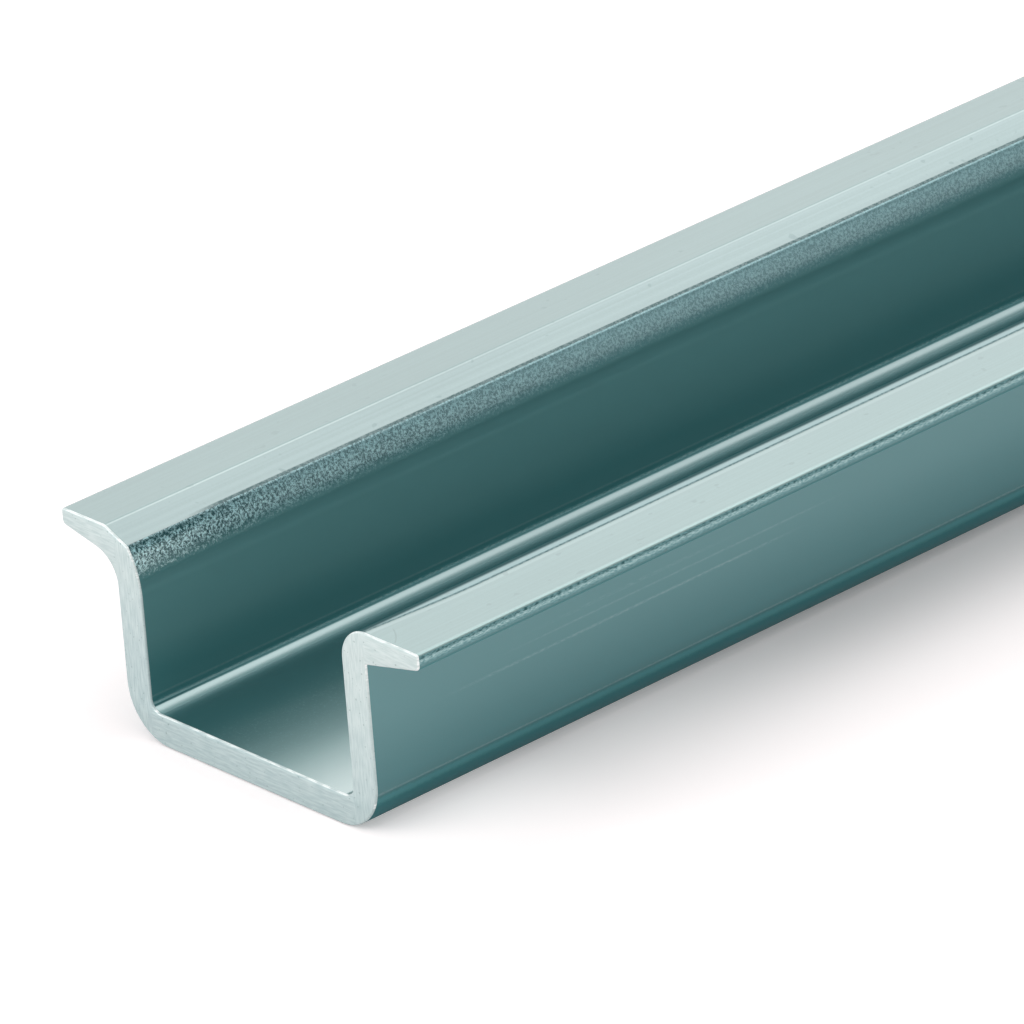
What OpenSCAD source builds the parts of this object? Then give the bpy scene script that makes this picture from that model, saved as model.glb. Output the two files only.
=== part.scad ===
// Top-hat mounting rail for switchgear and terminal blocks.
// It is rolled from one strip of steel, open at the top, and cut square at both ends.
// The rail runs along Y. The underside of its floor lies on Z = 0.

/* [Rail] */
// Length of the rail
rail_l = 500; // [200:50:2000]
// Width across both flanges, which the clip-on devices grip
rail_w = 35; // [32:0.1:40]
// Height from the underside of the floor to the flange tops
rail_h = 15; // [10:0.5:25]
// Thickness of the strip in the floor and the webs
sheet_t = 2.3; // [1.5:0.1:2.8]
// Width over the outsides of the two webs
hat_w = 24.6; // [20:0.1:29]

/* [Flanges] */
// Thickness of a flange at its outer edge
edge_t = 1.15; // [0.8:0.05:1.45]
// Radius under the left flange, where it meets the web
root_r = 2.4; // [0.4:0.1:3]

/* [Bends] */
// Radius of the two lower bends on the outside
base_outer_r = 3.8; // [2:0.1:4.5]
// Radius of the two lower bends on the inside
base_inner_r = 0.9; // [0.3:0.1:1.5]
// Radius of the bend from the right web into its flange
mouth_r = 2.4; // [1:0.1:3.2]
// How far the flattened left bend reaches out from the inside of its web
flat_bend_w = 3.2; // [2.6:0.05:3.8]
// Width of the flat pressed on the left bend
flat_w = 2.4; // [1.2:0.1:2.8]
// Slope of that flat in degrees
flat_slope = 24; // [15:1:40]
// Angle, measured from upright, at which the rounding below the flat starts
flat_exit = 30; // [20:1:50]

/* [Hidden] */
$fn = 96;

edge_x = rail_w / 2;
web_out = hat_w / 2;
web_in = web_out - sheet_t;

// Underside of a flange: it rises from the root to the thinner edge.
root_z = rail_h - sheet_t;
edge_z = rail_h - edge_t;
rise = (edge_z - root_z) / (edge_x - web_out);
rise_len = sqrt(1 + rise * rise);

// Fillet under the left flange: a circle that touches the web and the sloping underside.
fillet_x = web_out + root_r;
fillet_z = root_z + rise * root_r - root_r * rise_len;

// Flattened left bend: crease, flat, corner, then a wide rounding into the web.
crease_x = web_in + flat_bend_w;
corner_x = crease_x - flat_w * cos(flat_slope);
corner_z = rail_h - flat_w * sin(flat_slope);
round_r = (corner_x - web_in) / (1 - cos(flat_exit));
round_z = corner_z - round_r * sin(flat_exit);

// The waste between a square corner at the origin and a quarter circle of radius r
module corner_waste(r) {
    difference() {
        square(r);
        translate([r, r]) circle(r);
    }
}

// Channel and flanges as seen on the right, outside outline only
module half_outline() {
    difference() {
        square([web_out, rail_h]);
        translate([web_out, 0]) mirror([1, 0]) corner_waste(base_outer_r);
    }
    polygon([[web_out - 1, root_z], [web_out, root_z], [edge_x, edge_z], [edge_x, rail_h], [web_out - 1, rail_h]]);
}

// Metal that fills the corner under the left flange
module root_fillet() {
    difference() {
        polygon([
            [web_out - 0.5, fillet_z],
            [web_out, fillet_z],
            [fillet_x - root_r * rise / rise_len, fillet_z + root_r / rise_len],
            [web_out - 0.5, root_z]
        ]);
        translate([fillet_x, fillet_z]) circle(root_r);
    }
}

// Half of the open space inside the channel
module half_space() {
    difference() {
        translate([0, sheet_t]) square([web_in, rail_h]);
        translate([web_in, sheet_t]) mirror([1, 0]) corner_waste(base_inner_r);
    }
}

// What the right bend takes away at the mouth of the channel
module round_mouth() {
    difference() {
        translate([web_in - 1, rail_h - mouth_r]) square([mouth_r + 1, mouth_r + 1]);
        translate([web_in + mouth_r, rail_h - mouth_r]) circle(mouth_r);
    }
}

// What the flattened left bend takes away at the mouth of the channel
module flat_mouth() {
    difference() {
        polygon([
            [web_in - 1, round_z],
            [web_in, round_z],
            [corner_x, corner_z],
            [crease_x, rail_h],
            [crease_x, rail_h + 1],
            [web_in - 1, rail_h + 1]
        ]);
        translate([web_in + round_r, round_z]) circle(round_r, $fn = 240);
    }
}

module section() {
    difference() {
        union() {
            half_outline();
            mirror([1, 0]) {
                half_outline();
                root_fillet();
            }
        }
        half_space();
        round_mouth();
        mirror([1, 0]) {
            half_space();
            flat_mouth();
        }
    }
}

module rail() {
    color([0.62, 0.72, 0.72]) rotate([90, 0, 0]) linear_extrude(rail_l, center = true) section();
}

rail();
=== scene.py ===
"""A deep top-hat rail: one strip of steel, rolled, passivated blue-green and sawn square."""
import functools
import math
from types import SimpleNamespace

import bmesh
import bpy
from mathutils import Matrix, Vector, noise
from mathutils.geometry import tessellate_polygon


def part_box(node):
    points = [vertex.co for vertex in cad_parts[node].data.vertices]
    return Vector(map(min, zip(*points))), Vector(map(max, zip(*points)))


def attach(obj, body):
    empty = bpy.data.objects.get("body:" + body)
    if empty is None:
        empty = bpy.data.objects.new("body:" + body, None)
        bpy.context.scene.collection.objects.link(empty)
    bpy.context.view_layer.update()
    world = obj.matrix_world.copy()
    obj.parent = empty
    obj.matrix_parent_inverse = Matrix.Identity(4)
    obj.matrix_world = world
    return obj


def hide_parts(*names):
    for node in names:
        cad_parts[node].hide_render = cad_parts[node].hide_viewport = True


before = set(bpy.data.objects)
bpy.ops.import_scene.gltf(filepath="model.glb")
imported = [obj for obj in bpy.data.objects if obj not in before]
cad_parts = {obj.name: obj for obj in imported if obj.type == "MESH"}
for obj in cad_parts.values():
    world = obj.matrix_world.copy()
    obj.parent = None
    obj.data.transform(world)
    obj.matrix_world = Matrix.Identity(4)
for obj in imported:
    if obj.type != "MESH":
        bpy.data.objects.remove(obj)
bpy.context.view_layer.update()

MM = 0.001
MM_TO_METRE = 1000
HALF_WIDTH, HALF_LENGTH, HEIGHT = [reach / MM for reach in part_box("rail")[1]]

# Sizes of the section in millimetres, as every place and width in this script is
SHEET = 2.3
WEB_OUTSIDE = 12.3
WEB_INSIDE = WEB_OUTSIDE - SHEET
EDGE_THICKNESS = 1.15
EDGE_LOW = HEIGHT - EDGE_THICKNESS
BASE_OUTER_RADIUS = 3.8
BASE_INNER_RADIUS = 0.9
MOUTH_RADIUS = 2.4
ROOT_RADIUS = 2.4
CREASE = WEB_INSIDE + 3.2
FLAT_WIDTH = 2.4
FLAT_SLOPE = math.radians(24)
FLAT_EXIT = math.radians(30)
FLAT_END = CREASE - FLAT_WIDTH * math.cos(FLAT_SLOPE)
FLAT_END_HEIGHT = HEIGHT - FLAT_WIDTH * math.sin(FLAT_SLOPE)
HOLD = 0.03  # distance from a bend at which the flat beside it is held flat
FILED = 0.18  # width of the filed edge round a sawn end
FILED_STEPS = 3
SPANS = 60  # even stretches of the mesh between the ends
SHARP_ANGLE = math.radians(40)


# ---------------------------------------------------------------- the rolled section

def arc_in_corner(before, corner, after, radius, pieces):
    """The arc that touches both sides of a corner, and a point on each side that holds it flat."""
    to_before = (before - corner).normalized()
    to_after = (after - corner).normalized()
    half_angle = to_before.angle(to_after) / 2
    reach = radius / math.tan(half_angle)
    centre = corner + (to_before + to_after).normalized() * radius / math.sin(half_angle)
    start = corner + to_before * reach - centre
    end = corner + to_after * reach - centre
    first = math.atan2(start.y, start.x)
    turn = (math.atan2(end.y, end.x) - first + math.pi) % math.tau - math.pi
    angles = [first + turn * i / pieces for i in range(pieces + 1)]
    arc = [centre + radius * Vector((math.cos(a), math.sin(a))) for a in angles]
    return [arc[0] + to_before * HOLD] + arc + [arc[-1] + to_after * HOLD]


def drawn_in(before, corner, after, radius, inset):
    """A corner and its radius after both sides move into the metal by the inset."""
    to_before = (before - corner).normalized()
    to_after = (after - corner).normalized()
    shift = (to_before + to_after).normalized() * inset / math.sin(to_before.angle(to_after) / 2)
    hollow = to_before.x * to_after.y - to_before.y * to_after.x < 0
    if hollow:
        return corner - shift, radius + inset
    return corner + shift, max(radius - inset, 0.02)


def section_outline(inset=0.0):
    """The closed outline of the section, from the left flange edge over the top and back below."""
    bend_foot = FLAT_END_HEIGHT - (FLAT_END - WEB_INSIDE) / math.tan(FLAT_EXIT)
    under_root = HEIGHT - SHEET
    # Each corner: across, up, radius and how many pieces its arc has
    corners = [
        (-HALF_WIDTH, EDGE_LOW, 0.4, 4),
        (-HALF_WIDTH, HEIGHT, 0.2, 3),
        (-CREASE, HEIGHT, 0.7, 3),
        (-FLAT_END, FLAT_END_HEIGHT, 0.2, 2),
        (-WEB_INSIDE, bend_foot, 7.0, 10),
        (-WEB_INSIDE, SHEET, BASE_INNER_RADIUS, 12),
        (WEB_INSIDE, SHEET, BASE_INNER_RADIUS, 12),
        (WEB_INSIDE, HEIGHT, MOUTH_RADIUS, 18),
        (HALF_WIDTH, HEIGHT, 0.2, 3),
        (HALF_WIDTH, EDGE_LOW, 0.4, 4),
        (WEB_OUTSIDE, under_root, 0.12, 3),
        (WEB_OUTSIDE, 0, BASE_OUTER_RADIUS, 18),
        (-WEB_OUTSIDE, 0, BASE_OUTER_RADIUS, 18),
        (-WEB_OUTSIDE, under_root, ROOT_RADIUS, 12),
    ]
    places = [Vector(corner[:2]) for corner in corners]
    count = len(corners)
    moved = [
        drawn_in(places[i - 1], places[i], places[(i + 1) % count], corners[i][2], inset)
        for i in range(count)
    ]
    outline = []
    for i, (place, radius) in enumerate(moved):
        before, after = moved[i - 1][0], moved[(i + 1) % count][0]
        outline += arc_in_corner(before, place, after, radius, corners[i][3])
    return outline


def filed_ring(outline, drawn, share, end):
    """The outline drawn in by a share of the filed edge, whose width wavers round the section."""
    ring = []
    for point, target in zip(outline, drawn):
        waver = noise.noise(Vector((point.x * 0.7, point.y * 0.7, end * 7.3)))
        ring.append(point.lerp(target, share * (0.75 + 0.25 * waver)))
    return ring


def rail_mesh():
    """The rail as one closed mesh: rounded filed edges at both ends, even spans between."""
    outline = section_outline()
    drawn = section_outline(FILED)
    rings = []
    for end in (-1, 1):
        steps = []
        for k in range(FILED_STEPS + 1):
            angle = math.pi / 2 * k / FILED_STEPS
            y = end * (HALF_LENGTH - FILED * (1 - math.cos(angle)))
            steps.append((y, filed_ring(outline, drawn, 1 - math.sin(angle), end)))
        rings.append(steps)
    inner = HALF_LENGTH - FILED
    evenly = [2 * inner * i / SPANS - inner for i in range(1, SPANS)]
    middle = [(y, outline) for y in [HOLD - inner] + evenly + [inner - HOLD]]
    stations = rings[0] + middle + rings[1][::-1]

    shape = bmesh.new()
    loops = []
    for y, ring in stations:
        loops.append([shape.verts.new((p.x * MM, y * MM, p.y * MM)) for p in ring])
    count = len(outline)
    for k, (near, far) in enumerate(zip(loops, loops[1:])):
        at_end = k < FILED_STEPS or k >= len(loops) - 1 - FILED_STEPS
        for i in range(count):
            j = (i + 1) % count
            face = shape.faces.new((near[i], near[j], far[j], far[i]))
            face.smooth = True
            face.material_index = 1 if at_end else 0
    for loop, ring in ((loops[0], stations[0][1]), (loops[-1], stations[-1][1])):
        for corners in tessellate_polygon([[p.to_3d() for p in ring]]):
            shape.faces.new([loop[c] for c in corners]).material_index = 1
        for i in range(count):
            shape.edges.get((loop[i - 1], loop[i])).smooth = False
    bmesh.ops.recalc_face_normals(shape, faces=shape.faces)
    mesh = bpy.data.meshes.new("rolled_rail")
    shape.to_mesh(mesh)
    shape.free()
    return mesh


# ---------------------------------------------------------------- finishes

class Wire:
    """What a node gives out, so that shader maths reads as Python."""

    def __init__(self, finish, socket):
        self.finish = finish
        self.socket = socket

    def __add__(self, other):
        return self.finish.maths("ADD", self, other)

    def __radd__(self, other):
        return self.finish.maths("ADD", other, self)

    def __sub__(self, other):
        return self.finish.maths("SUBTRACT", self, other)

    def __rsub__(self, other):
        return self.finish.maths("SUBTRACT", other, self)

    def __mul__(self, other):
        return self.finish.maths("MULTIPLY", self, other)

    def __rmul__(self, other):
        return self.finish.maths("MULTIPLY", other, self)

    def __abs__(self):
        return self.finish.maths("ABSOLUTE", self)


class Finish:
    """One material and the few kinds of node that the finishes share."""

    def __init__(self, name):
        self.material = bpy.data.materials.new(name)
        self.material.use_nodes = True
        self.tree = self.material.node_tree
        self.tree.nodes.clear()
        self.place = self.add("ShaderNodeTexCoord", out="Object")
        split = self.add("ShaderNodeSeparateXYZ", Vector=self.place)
        self.x, self.y, self.z = [
            Wire(self, split.socket.node.outputs[axis]) * MM_TO_METRE for axis in ("X", "Y", "Z")
        ]

    def add(self, kind, out=0, settings=None, **inputs):
        """Adds a node: its settings, then its sockets, by name or as _0, _1 and so on by place."""
        node = self.tree.nodes.new(kind)
        for name, value in (settings or {}).items():
            setattr(node, name, value)
        for name, value in inputs.items():
            socket = node.inputs[int(name[1:]) if name[0] == "_" else name.replace("_", " ")]
            if isinstance(value, Wire):
                self.tree.links.new(value.socket, socket)
            else:
                socket.default_value = value
        return Wire(self, node.outputs[out])

    def maths(self, operation, first, second=0.0):
        return self.add("ShaderNodeMath", settings={"operation": operation}, _0=first, _1=second)

    def most(self, *values):
        """The largest of several values."""
        return functools.reduce(lambda first, second: self.maths("MAXIMUM", first, second), values)

    def rise(self, value, low, high):
        """0 below low, 1 above high, with a soft step between."""
        return self.add(
            "ShaderNodeMapRange", settings={"interpolation_type": "SMOOTHSTEP"},
            Value=value, From_Min=low, From_Max=high,
        )

    def band(self, value, low, high, soft):
        """1 between low and high, 0 outside."""
        below_high = 1 - self.rise(value, high - soft, high + soft)
        return self.rise(value, low - soft, low + soft) * below_high

    def noise(self, across, along, up, detail=2.0, roughness=0.5):
        """Noise with so many grains to the millimetre across, along and up the rail."""
        scaled = self.add(
            "ShaderNodeVectorMath", settings={"operation": "MULTIPLY"},
            _0=self.place, _1=[grains * MM_TO_METRE for grains in (across, along, up)],
        )
        return self.add(
            "ShaderNodeTexNoise", Vector=scaled, Scale=1.0, Detail=detail, Roughness=roughness,
        )

    def mix(self, factor, first, second):
        """Blends two colours."""
        return self.add(
            "ShaderNodeMix", out=2, settings={"data_type": "RGBA"},
            _0=factor, _6=first, _7=second,
        )

    def bump(self, height, strength, distance):
        """The normal of a surface that rises by up to the distance, in millimetres."""
        return self.add(
            "ShaderNodeBump", Strength=strength, Distance=distance * MM, Height=height,
        )

    def finished(self, shader):
        """The material, showing this shader."""
        output = self.tree.nodes.new("ShaderNodeOutputMaterial")
        self.tree.links.new(shader.socket, output.inputs["Surface"])
        return self.material


def tone(red, green, blue):
    """A colour from display values of 0 to 255."""
    shown = [value / 255 for value in (red, green, blue)]
    linear = [c / 12.92 if c <= 0.04045 else ((c + 0.055) / 1.055) ** 2.4 for c in shown]
    return (*linear, 1.0)


# ---------------------------------------------------------------- the rolled finish

# Lines on a web: side, height, width, start and end from the cut ends, strength
ROLL_LINES = [
    (1, 7.9, 0.16, 9, 36, 0.25),
    (1, 9.6, 0.2, 16, 30, 0.15),
    (1, 8.9, 0.12, 14, 40, 0.15),
    (1, 3.15, 0.12, -9, 300, 0.2),
    (-1, 3.3, 0.12, -9, 300, 0.25),
    (-1, 2.84, 0.12, -9, 300, 0.9),
]

# The circle that a scratch by the near end follows
SCRATCH_X, SCRATCH_Y, SCRATCH_RADIUS = 11.5, -HALF_LENGTH - 2.3, 4.42

# Painted light: the paler tone for the upper inside of the left web
INNER_PALE = (109, 162, 164)  # top of the left web's inside, also among the spots of the skin


def rolled_grain(f):
    """The noises that the rolled finish is drawn with."""
    return SimpleNamespace(
        streaks=f.noise(4, 0.015, 4, detail=3),
        cloud=f.noise(0.2, 0.03, 0.2, detail=2),
        grain=f.noise(5, 5, 5, detail=4, roughness=0.9),
        dashes=f.noise(12, 3, 16, detail=2, roughness=0.6),
    )


def section_masks(f, dashes):
    """Where a point lies on the rail: 1 on each named stretch of the section and 0 beside it."""
    aside = abs(f.x)
    on_top = f.rise(f.z, FLAT_END_HEIGHT, FLAT_END_HEIGHT + 0.06)
    in_channel = f.band(f.x, -FLAT_END - 0.1, -WEB_INSIDE + 0.6, 0.05)
    floor_width = f.band(f.x, -WEB_INSIDE + 0.7, WEB_INSIDE - 0.3, 0.25)
    corner_width = f.band(f.x, -WEB_INSIDE + 0.05, -WEB_INSIDE + 0.9, 0.1)
    mouth_width = f.band(f.x, WEB_INSIDE - 0.2, WEB_INSIDE + 2.15, 0.2)
    outside = f.rise(aside, WEB_INSIDE + 0.3, WEB_INSIDE + 0.6) * (1 - on_top)
    low_bend = outside * (1 - f.rise(f.z + dashes * 0.3, 2.9, 3.4))
    lip_low = 1 - f.rise(f.z, EDGE_LOW + 0.1, EDGE_LOW + 0.35)
    lip = f.rise(aside, HALF_WIDTH - 0.6, HALF_WIDTH - 0.3) * lip_low
    edge = f.rise(aside, HALF_WIDTH - 0.3, HALF_WIDTH - 0.2)
    edge_round = f.rise(f.z, HEIGHT - 0.2, HEIGHT - 0.1)
    return SimpleNamespace(
        from_end=HALF_LENGTH - abs(f.y),
        on_top=on_top,
        below_flat=in_channel * f.rise(f.z, SHEET + 0.1, SHEET + 0.3),
        channel_floor=floor_width * f.band(f.z, SHEET - 0.2, SHEET + 0.3, 0.1),
        corner=corner_width * f.band(f.z, SHEET - 0.2, SHEET + 0.32, 0.05),
        mouth=mouth_width * f.rise(f.z, HEIGHT - 3, HEIGHT - 2),
        underside=f.most(low_bend, lip),
        edge_face=edge * (1 - edge_round),
        edge_round=edge * edge_round,
    )


def tones_and_painted_light(f, at, n):
    """Tones of the metal, with painted light and shade: darker at the foot of each web and on the
    left half of the channel floor, paler up the inside of the left web, on the sloped flat, in the
    channel's left corner and in a band below the skin.
    """
    # Painted shade: the webs are darker towards the foot
    web = f.mix(f.rise(f.z + n.cloud * 1.5, 3.5, 10), tone(30, 111, 116), tone(66, 128, 132))
    # Painted light: the inside of the left web is paler higher up
    inner = f.mix(f.rise(f.z + n.cloud * 2.2, 5.2, 8.4), tone(83, 148, 151), tone(*INNER_PALE))
    # Painted light and shade: the channel floor is dark on the left and pale on the right
    channel_floor_light_and_shade = f.mix(f.rise(f.x + n.cloud * 3, -5, 9), tone(30, 93, 96), tone(169, 187, 186))
    scuffs = at.channel_floor * f.rise(n.grain, 0.55, 0.66) * f.band(f.x, -4, 6, 2)
    drawn = f.rise(0.6 * n.streaks + 0.5 * n.cloud + 0.4 * n.grain, 0.5, 1.0)
    right_flange = f.mix(drawn, tone(97, 129, 128), tone(107, 139, 138))
    left_flange = f.mix(drawn, tone(88, 119, 118), tone(98, 129, 128))
    flanges = f.mix(f.rise(-1 * f.x, 0, 0.1), right_flange, left_flange)
    # Painted sheen: the sloped flat is paler than the flanges
    pressed = f.band(f.x, -CREASE, -FLAT_END, 0.03) * at.on_top
    pressed_sheen = f.mix(drawn, tone(114, 135, 135), tone(126, 147, 147))
    # Painted highlight in the channel's left corner, brightest by the ends
    corner_highlight = f.mix(f.rise(at.from_end, 4, 40), tone(132, 158, 158), tone(112, 138, 139))
    # Painted sheen: a pale band on the inside of the left web, just below the skin
    sheen_band = at.below_flat * f.band(f.z, 10.9, 11.7, 0.3)
    colour = f.mix(at.below_flat, web, inner)
    colour = f.mix(at.channel_floor, colour, channel_floor_light_and_shade)
    colour = f.mix(scuffs * 0.3, colour, tone(150, 190, 190))
    colour = f.mix(at.on_top, colour, flanges)
    colour = f.mix(pressed, colour, pressed_sheen)
    colour = f.mix(at.corner, colour, corner_highlight)
    return f.mix(sheen_band * 0.4, colour, tone(142, 196, 198))


def roll_marks(f, at, n, colour):
    """Adds what the rolls left, a painted highlight along the crease and painted shade on the
    rounding at the mouth. Also gives where the seam and the marks on the edge are.
    """
    for side, height, width, start, end, strength in ROLL_LINES:
        line = f.band(f.z, height - width / 2, height + width / 2, 0.08)
        line = line * f.band(at.from_end, start, end, 4) * f.rise(side * f.x, 9.5, 9.9)
        line = line * f.rise(n.streaks + n.dashes, 0.7, 1.2)
        colour = f.mix(line * strength, colour, tone(175, 205, 205))

    # A seam along the right flange, which bends towards the web by each end
    torn = f.rise(n.dashes, 0.42, 0.55)
    past_seam = f.x - (12.8 - 0.7 * (1 - f.rise(at.from_end, -4, 10)))
    between = at.on_top * f.band(f.x, WEB_INSIDE, 20, 0.1) * (1 - f.rise(past_seam, -0.1, 0.1))
    # Painted shade on the rounding at the mouth, up to the seam
    colour = f.mix(between * 0.75, colour, tone(74, 128, 132))
    seam = at.on_top * f.band(past_seam, -0.13, 0.08, 0.05) * (1 - 0.4 * torn)
    ridge = at.on_top * f.band(past_seam, 0.2, 0.5, 0.1)
    # Painted highlight along the crease, strongest by the ends
    crease = at.on_top * f.band(f.x, -CREASE - 0.02, -CREASE + 0.12, 0.04)
    crease = crease * (1 - 0.6 * f.rise(at.from_end, 10, 40))
    colour = f.mix(f.most(ridge * 0.12, crease * 0.35), colour, tone(190, 210, 208))

    # The flange edges, with torn marks and chatter
    colour = f.mix(at.edge_round * 0.7, colour, tone(138, 166, 164))
    colour = f.mix(at.edge_face, colour, tone(68, 130, 134))
    tears = at.edge_face * f.band(f.z, EDGE_LOW + 0.5, EDGE_LOW + 0.75, 0.12) * torn
    colour = f.mix(tears * 0.6, colour, tone(176, 212, 212))
    high_chatter = f.band(f.z, EDGE_LOW + 0.75, EDGE_LOW + 0.99, 0.05)
    low_chatter = f.band(f.z, EDGE_LOW + 0.2, EDGE_LOW + 0.45, 0.1)
    chatter = at.edge_face * f.most(high_chatter, 0.4 * low_chatter) * (1 - torn)
    return colour, seam, chatter


def wear(f, at, colour):
    """Adds a curved scratch across the flange by the near end, and a few specks."""
    aside, along = f.x - SCRATCH_X, f.y - SCRATCH_Y
    reach = f.maths("SQRT", aside * aside + along * along)
    scratch = f.band(reach, SCRATCH_RADIUS - 0.04, SCRATCH_RADIUS + 0.04, 0.05)
    scratch = scratch * at.on_top * f.band(f.x, 13.4, 15.1, 0.2)
    specks = at.on_top * f.rise(f.noise(1.3, 0.9, 1.3, detail=1), 0.7, 0.76)
    return f.mix(f.most(scratch * 0.5, specks * 0.3), colour, tone(60, 96, 98))


def coarse_skin(f, at, n, colour):
    """Adds the skin below the flat, strongest by the cut ends, with a painted sheen across its
    middle. Also gives where its marks are, and the painted shade along the lower edge of the flat
    and just above the channel's left corner.
    """
    near_end = 1 - f.rise(at.from_end, 0, 9)
    skin = at.below_flat * f.band(f.z, 11.9, 20, 0.25)
    sparse = 1 - f.rise(f.z, 11.8, 12.9)
    spots = f.rise(n.grain - 0.07 * sparse, 0.44, 0.57)
    sharpness = 1 - 0.5 * f.rise(at.from_end, 2, 16) - 0.3 * f.rise(at.from_end, 14, 45)
    speckle = f.mix(0.43 + (spots - 0.5) * sharpness, tone(16, 68, 74), tone(168, 222, 228))
    # Painted sheen across the middle of the skin, brightest by the ends
    belly = f.band(f.z, 12.1, 13.45, 0.25) * (0.7 * near_end + 0.35 * spots * sharpness)
    speckle = f.mix(belly, speckle, tone(214, 250, 252))
    speckle = f.mix(sparse * (1 - spots), speckle, tone(*INNER_PALE))

    # Painted shade, speckled, along the lower edge of the flat
    past_end = f.rise(at.from_end, 5, 9)
    above = at.on_top * f.band(f.x, -FLAT_END - 0.32, -FLAT_END + 0.1, 0.05) * past_end
    below = at.below_flat * f.band(f.z, FLAT_END_HEIGHT - 0.25, FLAT_END_HEIGHT, 0.08)
    below = below * (1 - 0.6 * past_end)
    thin = at.on_top * f.band(f.x, -FLAT_END - 0.1, -FLAT_END + 0.12, 0.03)
    return f.mix(skin, colour, speckle), SimpleNamespace(
        skin=skin,
        height=n.grain * skin * sharpness,
        hollow=skin * (1 - spots) * sharpness * (1 - 0.7 * sparse),
        chalk=skin * spots * sharpness * sparse,
        border=f.most(above, below, thin) * (0.95 - 0.4 * f.rise(n.grain, 0.44, 0.57)),
        # Painted shade just above the channel's left corner
        dip=at.below_flat * f.band(f.z, 2.62, 2.74, 0.03) * (0.6 + 0.3 * near_end),
    )


def rolled_zinc():
    """The rolled and passivated surfaces: bright metal under a clear coat, with a dull matt layer
    for marks and for painted shade.
    """
    f = Finish("rolled_zinc")
    n = rolled_grain(f)
    at = section_masks(f, n.dashes)
    colour, seam, chatter = roll_marks(f, at, n, tones_and_painted_light(f, at, n))
    colour, marks = coarse_skin(f, at, n, wear(f, at, colour))
    normal = f.bump(marks.height, 0.9, 0.12)
    metal = f.add(
        "ShaderNodeBsdfPrincipled", Base_Color=colour, Metallic=0.7, Normal=normal,
        Roughness=0.27 + 0.08 * n.streaks + 0.1 * marks.skin,
        Coat_Weight=1.0, Coat_Roughness=0.18, Coat_IOR=1.7,
    )
    # Painted shade on the outer lower bends and at the flange lips, darkest just above the floor
    low_on_bend = f.rise(f.z + 0.4 * n.dashes, 2.35, 2.85)
    bend_shade = f.mix(low_on_bend, tone(52, 108, 113), tone(76, 134, 137))
    matt_marks_and_shade_tone = f.mix(at.underside, tone(25, 70, 73), bend_shade)
    matt_marks_and_shade = f.add(
        "ShaderNodeBsdfPrincipled", Roughness=1.0, Specular_IOR_Level=0.0, Normal=normal,
        Base_Color=f.mix(marks.chalk, matt_marks_and_shade_tone, tone(226, 252, 252)),
    )
    # The matt share: painted shade on the outer lower bends, at the flange lips, round the right
    # mouth, along the lower edge of the flat and just above the channel's left corner; real marks
    # in the skin, the seam and the chatter on the edges
    dull = 0.85 * f.most(
        at.underside, at.mouth, marks.hollow, marks.chalk, marks.border, chatter, marks.dip,
        seam * 0.9,
    )
    return f.finished(f.add("ShaderNodeMixShader", _0=dull, _1=metal, _2=matt_marks_and_shade))


# ---------------------------------------------------------------- the sawn finish

def sawn_end():
    """The bare saw cut and its filed edges: pale, with fine marks and a few pits, a painted
    highlight on the filed edges that face up and painted shade on the filed edge along the floor.
    """
    f = Finish("sawn_end")
    on_web = f.band(abs(f.x), WEB_INSIDE, WEB_OUTSIDE, 0.2)
    lying = f.noise(0.8, 1, 7, detail=3)
    standing = f.noise(7, 1, 0.8, detail=3)
    marks = lying + on_web * (standing - lying)
    pits = f.rise(f.noise(4, 4, 4, detail=1), 0.68, 0.74)
    dull = f.mix(f.rise(marks, 0.3, 0.7), tone(172, 193, 195), tone(194, 211, 211))
    clean = f.mix(f.rise(marks, 0.3, 0.7), tone(192, 209, 208), tone(210, 223, 222))
    colour = f.mix(f.rise(0.4 * f.x + 2 * f.z, 0, 32), dull, clean)
    colour = f.mix(pits * 0.5, colour, tone(110, 140, 140))
    filed = f.rise(HALF_LENGTH - abs(f.y), 0.01, 0.05)
    # The filed edges that face up are near white: bare filed metal with a painted highlight
    facing_up = f.most(f.rise(f.z, 10, 12.5), f.band(f.z, SHEET - 0.2, SHEET + 0.2, 0.1))
    bright = filed * facing_up * (0.3 + 0.6 * f.rise(lying, 0.4, 0.6))
    colour = f.mix(bright, colour, tone(250, 255, 254))
    # Painted shade: the filed edge along the floor is dark
    colour = f.mix(filed * (1 - f.rise(f.z, 0.02, 0.2)), colour, tone(60, 56, 60))
    return f.finished(f.add(
        "ShaderNodeBsdfPrincipled", Base_Color=colour, Metallic=0.5, Roughness=0.55,
        Normal=f.bump(marks, 0.5, 0.05),
    ))


# ---------------------------------------------------------------- the rail

rail = bpy.data.objects.new("rolled_rail", rail_mesh())
bpy.context.scene.collection.objects.link(rail)
rail.data.materials.append(rolled_zinc())
rail.data.materials.append(sawn_end())
rail.data.set_sharp_from_angle(angle=SHARP_ANGLE)
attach(rail, "root")
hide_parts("rail")


# ---------------------------------------------------------------- studio

FLOOR_SIZE = 80
WORLD_LIGHT = 0.78
GLOW, MIRROR_GLOW, PATCH_GLOW = 0.23, 0.12, 0.13

# Soft lights: name, direction from the middle of the rail, width, height, brightness
SOFTBOXES = [
    ("front", (-0.25, -1.0, 0.6), 1.6, 1.0, 2.6),
    ("back_left", (-0.68, 0.59, 0.6), 1.0, 1.0, 1.1),
    ("back", (0.08, 0.6, 0.79), 2.3, 1.0, 1.6),
]
LIGHT_DISTANCE = 2

# The camera looks at a point in the channel, a little way in from the near end
AIM = Vector((-5.3, -HALF_LENGTH + 28.8, 7.5)) * MM
AZIMUTH, ELEVATION, ROLL = math.radians(49.04), math.radians(25.39), math.radians(-4.50)
CAMERA_DISTANCE, LENS, SENSOR = 0.729, 381.0, 36


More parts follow.
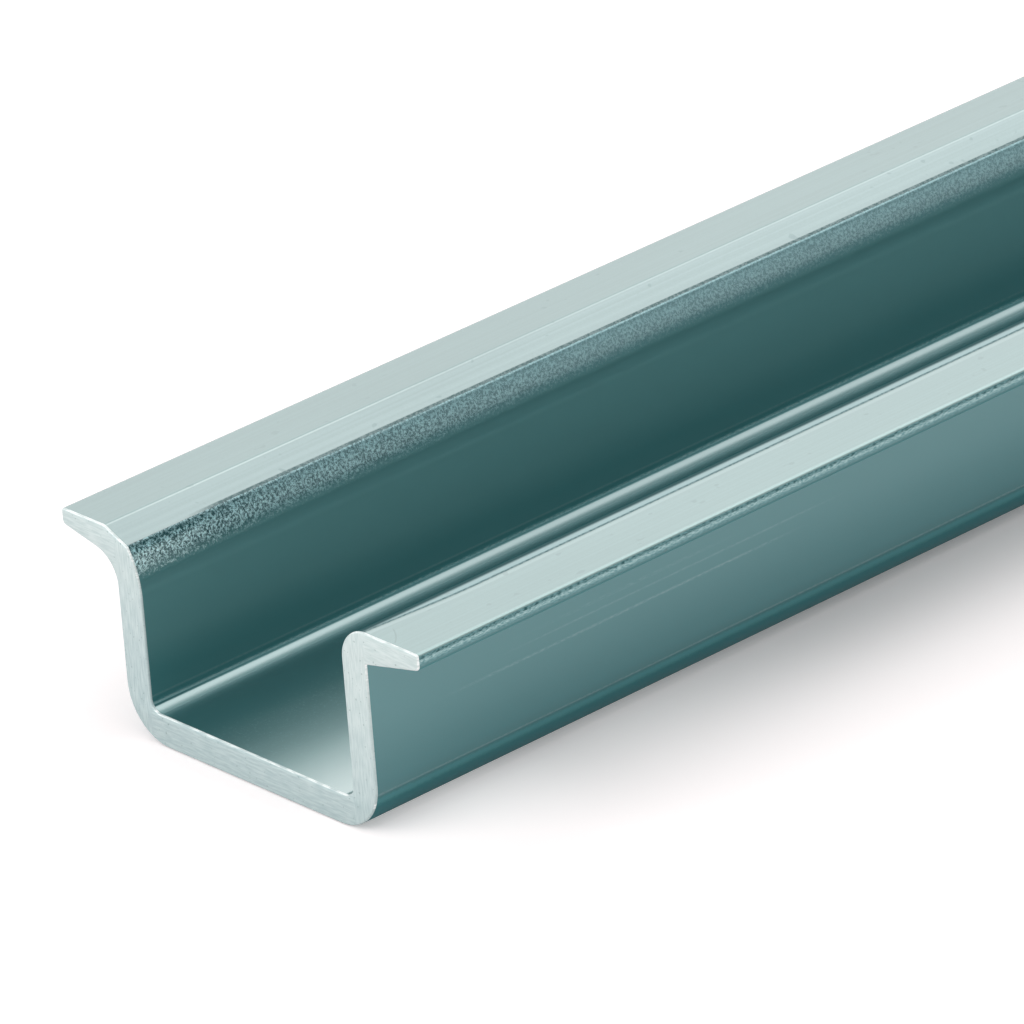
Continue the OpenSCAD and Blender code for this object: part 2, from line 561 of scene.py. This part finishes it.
def white_floor():
    """A matt white floor. Camera, mirror and glass rays also see it glow, as a lit sweep does, and
    for the camera the glow holds a painted light and shadow beside the rail.
    """
    f = Finish("white_floor")
    path = f.add("ShaderNodeLightPath", out="Is Camera Ray")
    mirror = Wire(f, path.socket.node.outputs["Is Glossy Ray"])
    through = Wire(f, path.socket.node.outputs["Is Transmission Ray"])
    paper = f.add("ShaderNodeBsdfDiffuse", Color=(0.9, 0.84, 0.84, 1))

    # Painted light and shadow: right of the rail the floor glows more beside the near end, and
    # less further along
    from_end = f.y + HALF_LENGTH
    bright = f.band(from_end, -6, 12, 6)
    dark = f.rise(from_end, 16, 45) * (1 - f.rise(f.y, HALF_LENGTH - 40, HALF_LENGTH))
    patch = f.band(f.x, 8, 18, 5) * PATCH_GLOW * (bright - dark)
    glow = f.add(
        "ShaderNodeEmission", Strength=1.0,
        Color=path * (GLOW + patch) + mirror * MIRROR_GLOW + through * GLOW,
    )
    return f.finished(f.add("ShaderNodeAddShader", _0=paper, _1=glow))


def softbox(name, toward, width, height, brightness):
    """An oblong soft light in the given direction from the middle of the rail, facing it."""
    light = bpy.data.lights.new(name, "AREA")
    light.shape = "RECTANGLE"
    light.size, light.size_y = width, height
    light.energy = brightness * math.pi * width * height
    lamp = bpy.data.objects.new(name, light)
    direction = Vector(toward).normalized()
    lamp.location = direction * LIGHT_DISTANCE
    lamp.rotation_euler = direction.to_track_quat("Z", "Y").to_euler()
    bpy.context.scene.collection.objects.link(lamp)


bpy.ops.mesh.primitive_plane_add(size=FLOOR_SIZE)
floor = bpy.context.object
floor.name = "white_floor"
floor.data.materials.append(white_floor())

for box in SOFTBOXES:
    softbox(*box)

world = bpy.data.worlds.new("studio")
bpy.context.scene.world = world
world.use_nodes = True
background = world.node_tree.nodes["Background"]
background.inputs["Color"].default_value = (1, 1, 1, 1)
background.inputs["Strength"].default_value = WORLD_LIGHT

camera_data = bpy.data.cameras.new("camera")
camera_data.sensor_width = SENSOR
camera_data.lens = LENS
camera_data.clip_start = 0.01
camera = bpy.data.objects.new("camera", camera_data)
bpy.context.scene.collection.objects.link(camera)
bpy.context.scene.camera = camera
back = Vector((
    math.sin(AZIMUTH) * math.cos(ELEVATION),
    -math.cos(AZIMUTH) * math.cos(ELEVATION),
    math.sin(ELEVATION),
))
camera.rotation_mode = "QUATERNION"
camera.matrix_world = (
    Matrix.Translation(AIM + back * CAMERA_DISTANCE)
    @ (-back).to_track_quat("-Z", "Y").to_matrix().to_4x4()
    @ Matrix.Rotation(ROLL, 4, "Z")
)

bpy.context.scene.view_settings.view_transform = "Standard"
